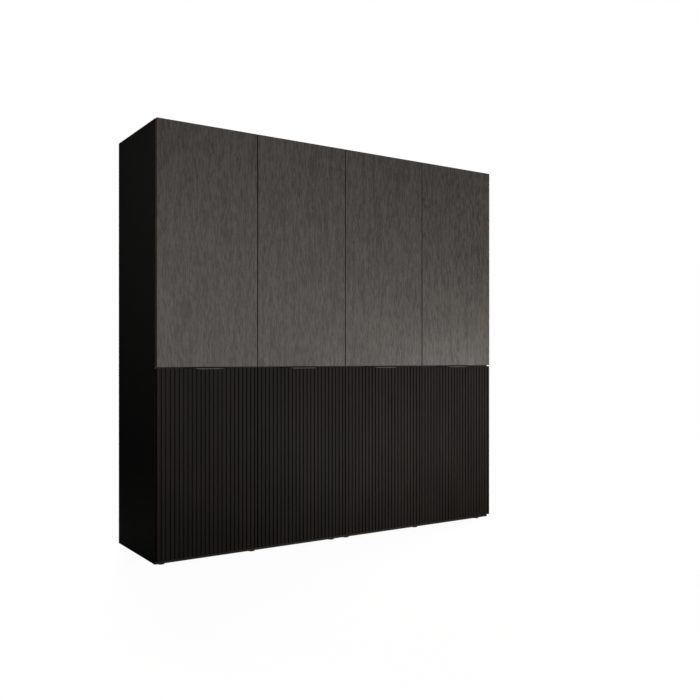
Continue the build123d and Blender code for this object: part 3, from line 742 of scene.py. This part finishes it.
def build_plate_screws(material):
    """Screws of the hinge plates, with a cross recess, that stand for the CAD ones."""
    bm = bmesh.new()
    for low, high in solid_boxes("plate_screws"):
        way = inward((low, high))
        start, end = (low.x, high.x) if way > 0 else (high.x, low.x)
        y, z = (low.y + high.y) / 2, (low.z + high.z) / 2
        head = end - way * HEAD_HEIGHT
        add_screw_head(bm, Vector((head, y, z)), (way, 0, 0), (high.z - low.z) / 2, HEAD_HEIGHT)
        turn = Matrix.Translation(((start + head) / 2, y, z)) @ Matrix.Rotation(math.pi / 2, 4, "Y")
        bmesh.ops.create_cone(bm, cap_ends=True, segments=24, radius1=SHANK_RADIUS,
                              radius2=SHANK_RADIUS, depth=abs(head - start), matrix=turn)
    mesh = smooth_mesh("plate_screw_set", bm)
    piece = new_piece("plate_screw_set", mesh, material, "root")
    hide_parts("plate_screws")


def build_arm_screws(material):
    """Two adjusting screws on each hinge arm."""
    bm = bmesh.new()
    for low, high in solid_boxes("hinge_arms"):
        way = inward((low, high))
        face = high.x if way > 0 else low.x
        z = (low.z + high.z) / 2
        for distance, radius in ARM_SCREWS:
            spot = Vector((face - way * SCREW_SINK, low.y + distance, z))
            add_screw_head(bm, spot, (way, 0, 0), radius, ARM_SCREW_DOME)
    new_piece("arm_screws", smooth_mesh("arm_screws", bm), material, "root")


def build_cup_screws(level, number, material):
    """Two screws on the ears of each hinge cup of one door."""
    bm = bmesh.new()
    for low, high in solid_boxes(f"{level}_cups_{number}"):
        way = inward((low, high))
        x = (high.x if way > 0 else low.x) - way * EAR_END
        for z in (low.z + EAR_END, high.z - EAR_END):
            spot = Vector((x, high.y - CUP_SCREW_SINK, z))
            add_screw_head(bm, spot, (0, 1, 0), CUP_SCREW_RADIUS, CUP_SCREW_DOME)
    name = f"{level}_cup_screws_{number}"
    new_piece(name, smooth_mesh(name, bm), material, f"{level}_door_{number}_body")


# ---------------------------------------------------------------- operators
class WARDROBE_OT_shared_effects(bpy.types.Operator):
    """Build the node groups that the finishes share"""

    bl_idname = "wardrobe.shared_effects"
    bl_label = "Shared effects"

    def execute(self, context):
        wood_grain_group()
        edge_wear_and_highlight_group()
        handling_group()
        fine_texture_group()
        return {"FINISHED"}


class WARDROBE_OT_upper_doors(bpy.types.Operator):
    """Give the upper doors their wood grain"""

    bl_idname = "wardrobe.upper_doors"
    bl_label = "Upper doors"

    def execute(self, context):
        dress([f"upper_door_{n}" for n in COLUMNS], grained_finish())
        return {"FINISHED"}


class WARDROBE_OT_lower_doors(bpy.types.Operator):
    """Give the fluted doors their lacquer"""

    bl_idname = "wardrobe.lower_doors"
    bl_label = "Lower doors"

    def execute(self, context):
        dress([f"lower_door_{n}" for n in COLUMNS], lacquer_finish())
        return {"FINISHED"}


class WARDROBE_OT_handles(bpy.types.Operator):
    """Build the folded sheet handles"""

    bl_idname = "wardrobe.handles"
    bl_label = "Handles"

    def execute(self, context):
        settings = context.scene.wardrobe_handles
        # lighter edge tint: wear and a painted edge highlight
        material = metal_finish("dark_metal", settings.metal, 0.34, 1.0, (0.12, 0.118, 0.115))
        for number in COLUMNS:
            build_handle(number, settings, material)
        return {"FINISHED"}


class WARDROBE_OT_carcass(bpy.types.Operator):
    """Finish the boards of both cabinets"""

    bl_idname = "wardrobe.carcass"
    bl_label = "Carcass"

    def execute(self, context):
        outer = [f"{side}_{part}" for side in ("left", "right")
                 for part in ("outer_side", "top", "bottom")]
        inner = [f"{side}_{part}" for side in ("left", "right")
                 for part in ("inner_side", "partition")]
        dress(outer, board_finish("black_board", 1.0))
        inner += ["fixed_shelves", "adjustable_shelves"]
        # paler copy of the board inside the cabinets: painted light
        dress(inner, board_finish("black_board_inside_painted_paler", context.scene.wardrobe_carcass.inside_painted_lift))
        dress(["left_back", "right_back"], hardboard_finish())
        return {"FINISHED"}


class WARDROBE_OT_hinges(bpy.types.Operator):
    """Finish the concealed hinges"""

    bl_idname = "wardrobe.hinges"
    bl_label = "Hinges"

    def execute(self, context):
        nickel = context.scene.wardrobe_carcass.nickel
        # lighter edge tint: wear and a painted edge highlight
        material = metal_finish("hinge_steel", nickel, 0.24, 0.35, (0.8, 0.79, 0.77))
        moving = [f"{level}_{part}_{n}" for level in LEVELS
                  for part in ("cups", "links") for n in COLUMNS]
        dress(moving + ["hinge_arms", "hinge_plates"], material)
        dress(["joining_bolts", "wall_brackets", "shelf_pins"], material)
        build_plate_screws(material)
        build_arm_screws(material)
        for level in LEVELS:
            for number in COLUMNS:
                build_cup_screws(level, number, material)
        return {"FINISHED"}


class WARDROBE_OT_fittings(bpy.types.Operator):
    """Finish the rails, feet, latches and bumpers"""

    bl_idname = "wardrobe.fittings"
    bl_label = "Fittings"

    def execute(self, context):
        plastic = context.scene.wardrobe_carcass.plastic
        # lighter edge tint: wear and a painted edge highlight
        rail = metal_finish("rail_metal", (0.06, 0.06, 0.062), 0.34, 0.5, (0.2, 0.2, 0.2))
        dress(["left_hanging_rail", "right_hanging_rail", "rail_sockets"], rail)
        moulded = plastic_finish("black_plastic", plastic, 0.42)
        dress(["feet", "latch_housings"] + [f"latch_plunger_{n}" for n in COLUMNS], moulded)
        dress(["door_bumpers"], plastic_finish("clear_rubber", (0.45, 0.45, 0.44), 0.3, 0.6))
        return {"FINISHED"}


# Name, setting that holds the power, share of it, place, point it faces, size, spread in degrees.
LIGHTS = (
    ("front", "front_power", 1.0, (0.5, -5.0, 1.2), (0, DOOR_FRONT, 1.0), (5.0, 3.0), 180),
    ("strip_left", "strip_power", 0.154, (-1.0, -1.9, 0.75), (-1.0, DOOR_FRONT, 0.75), (1.0, 0.4), 180),
    ("strip_middle", "strip_power", 0.069, (1.0, -1.9, 0.75), (1.0, DOOR_FRONT, 0.75), (1.0, 0.4), 180),
    ("strip_right", "strip_power", 0.419, (2.2, -1.9, 0.75), (1.6, DOOR_FRONT, 0.75), (1.0, 0.4), 180),
    ("strip_low", "strip_power", 0.358, (1.0, -1.6, 0.25), (1.0, DOOR_FRONT, 0.25), (1.6, 0.2), 180),
    ("back", "back_power", 1.0, (1.0, 3.6, 1.8), (0.2, 0.3, 1.1), (3.0, 1.6), 85),
    ("right", "back_power", 0.5, (4.0, 0.8, 1.8), (1.0, 0.1, 1.1), (1.6, 1.6), 85),
    ("left_high", "left_power", 1.0, (-3.0, 0.3, 2.2), (-1.0, 0.0, 1.3), (1.0, 1.2), 100),
)
CAMERA_TURN = -math.radians(33.56)
CAMERA_LEFT = 1.263  # left of the wardrobe's left side, in metres
CAMERA_AWAY = 3.454  # in front of the doors, in metres
CAMERA_HEIGHT = 0.933
CAMERA_SHIFT = 0.0114
SENSOR_WIDTH = 36.0
FLOOR_GREY = 0.03
FLOOR_NEAR_PAINTED_SHADOW = (1.6, 0.965)  # distance from the middle in metres, brightness there: the floor's glow is dimmed near the object as a painted contact shadow
FLOOR_FAR = (3.0, 1.0)


def add_area_light(name, where, aim, size, power, tint, spread):
    """A rectangular soft light that faces a point and can't be seen itself."""
    lamp = bpy.data.lights.new(name, "AREA")
    lamp.shape = "RECTANGLE"
    lamp.size, lamp.size_y = size
    lamp.energy = power
    lamp.color = tint
    lamp.spread = math.radians(spread)
    light = bpy.data.objects.new(name, lamp)
    light.location = where
    light.visible_camera = False
    light.rotation_euler = (Vector(aim) - Vector(where)).to_track_quat("-Z", "Y").to_euler()
    bpy.context.scene.collection.objects.link(light)


def add_floor():
    """Pale seamless floor that curves up far behind the object; the camera sees it glow white, dimmed
    near the object as a painted contact shadow.
    """
    bm = bmesh.new()
    half_width = 16.0
    front_edge, rise_start = -14.0, 7.0
    radius, top, steps = 3.0, 12.0, 12
    rows = [(front_edge, 0.0), (rise_start, 0.0)]
    for i in range(1, steps + 1):
        angle = math.pi / 2 * i / steps
        rows.append((rise_start + radius * math.sin(angle), radius * (1 - math.cos(angle))))
    rows.append((rise_start + radius, top))
    loops = [[bm.verts.new((x, y, z)) for x in (-half_width, half_width)] for y, z in rows]
    for a, b in zip(loops, loops[1:]):
        bm.faces.new((a[0], a[1], b[1], b[0]))
    mesh = smooth_mesh("studio_floor", bm, 60.0)
    floor = bpy.data.objects.new("studio_floor", mesh)
    floor.rotation_euler.z = CAMERA_TURN
    bpy.context.scene.collection.objects.link(floor)
    material, shader = new_material("studio_floor")
    shader.inputs["Base Color"].default_value = (FLOOR_GREY, FLOOR_GREY, FLOOR_GREY, 1)
    shader.inputs["Roughness"].default_value = 0.9
    shader.inputs["Emission Color"].default_value = (1, 1, 1, 1)
    tree = material.node_tree
    seen = tree.nodes.new("ShaderNodeLightPath").outputs["Is Camera Ray"]
    reach = tree.nodes.new("ShaderNodeVectorMath")
    reach.operation = "LENGTH"
    tree.links.new(object_place(tree), reach.inputs[0])
    (near, near_shaded_white), (far, far_white) = FLOOR_NEAR_PAINTED_SHADOW, FLOOR_FAR
    # glow seen by the camera, dimmer near the middle: a painted contact shadow under the object
    white_with_painted_shadow = remap(tree, reach.outputs["Value"], near, far, near_shaded_white, far_white)
    tree.links.new(math_node(tree, "MULTIPLY", seen, white_with_painted_shadow), shader.inputs["Emission Strength"])
    mesh.materials.append(material)


class WARDROBE_OT_stage(bpy.types.Operator):
    """Set up the floor, the lights and the camera"""

    bl_idname = "wardrobe.stage"
    bl_label = "Studio"

    def execute(self, context):
        scene = context.scene
        studio = scene.wardrobe_studio
        add_floor()
        world = bpy.data.worlds.new("studio")
        world.use_nodes = True
        tree = world.node_tree
        background = tree.nodes["Background"]
        path = tree.nodes.new("ShaderNodeLightPath")
        seen = path.outputs["Is Camera Ray"]
        level = math_node(tree, "MULTIPLY_ADD", seen, 1.0 - studio.room_level, studio.room_level)
        tree.links.new(level, background.inputs["Strength"])
        tree.links.new(mix_colour(tree, seen, studio.tint, (1, 1, 1)), background.inputs["Color"])
        scene.world = world
        tint = studio.tint
        for name, setting, share, where, aim, size, spread in LIGHTS:
            power = getattr(studio, setting) * share
            add_area_light(name, where, aim, size, power, tint, spread)
        add_camera(scene, studio.lens)
        scene.view_settings.view_transform = "Standard"
        return {"FINISHED"}


def add_camera(scene, lens):
    """Camera at the front left of the doors, level, at mid height."""
    data = bpy.data.cameras.new("camera")
    data.lens = lens
    data.sensor_width = SENSOR_WIDTH
    data.shift_y = CAMERA_SHIFT
    camera = bpy.data.objects.new("camera", data)
    low, _ = CAD_BOX
    camera.location = (low[0] - CAMERA_LEFT, DOOR_FRONT - CAMERA_AWAY, CAMERA_HEIGHT)
    camera.rotation_euler = (math.pi / 2, 0, CAMERA_TURN)
    scene.collection.objects.link(camera)
    scene.camera = camera


class WARDROBE_PT_panel(bpy.types.Panel):
    """Steps of the wardrobe, in order"""

    bl_label = "Wardrobe"
    bl_idname = "WARDROBE_PT_panel"
    bl_space_type = "VIEW_3D"
    bl_region_type = "UI"
    bl_category = "Wardrobe"

    def draw(self, context):
        for step in STEPS:
            self.layout.operator(step.bl_idname)
        for group in GROUPS:
            settings = getattr(context.scene, group)
            for label in settings.bl_rna.properties.keys():
                if label not in ("rna_type", "name"):
                    self.layout.prop(settings, label)


GROUPS = {
    "wardrobe_fronts": WardrobeFronts,
    "wardrobe_handles": WardrobeHandles,
    "wardrobe_carcass": WardrobeCarcass,
    "wardrobe_studio": WardrobeStudio,
}
STEPS = (
    WARDROBE_OT_shared_effects,
    WARDROBE_OT_stage,
    WARDROBE_OT_upper_doors,
    WARDROBE_OT_lower_doors,
    WARDROBE_OT_handles,
    WARDROBE_OT_carcass,
    WARDROBE_OT_hinges,
    WARDROBE_OT_fittings,
)


def register():
    for cls in (*GROUPS.values(), *STEPS, WARDROBE_PT_panel):
        bpy.utils.register_class(cls)
    for name, group in GROUPS.items():
        setattr(bpy.types.Scene, name, bpy.props.PointerProperty(type=group))


def unregister():
    for name in GROUPS:
        delattr(bpy.types.Scene, name)
    for cls in reversed((*GROUPS.values(), *STEPS, WARDROBE_PT_panel)):
        bpy.utils.unregister_class(cls)


def main():
    register()
    bpy.ops.wardrobe.shared_effects()
    bpy.ops.wardrobe.stage()
    bpy.ops.wardrobe.upper_doors()
    bpy.ops.wardrobe.lower_doors()
    bpy.ops.wardrobe.handles()
    bpy.ops.wardrobe.carcass()
    bpy.ops.wardrobe.hinges()
    bpy.ops.wardrobe.fittings()


if __name__ == "__main__":
    main()
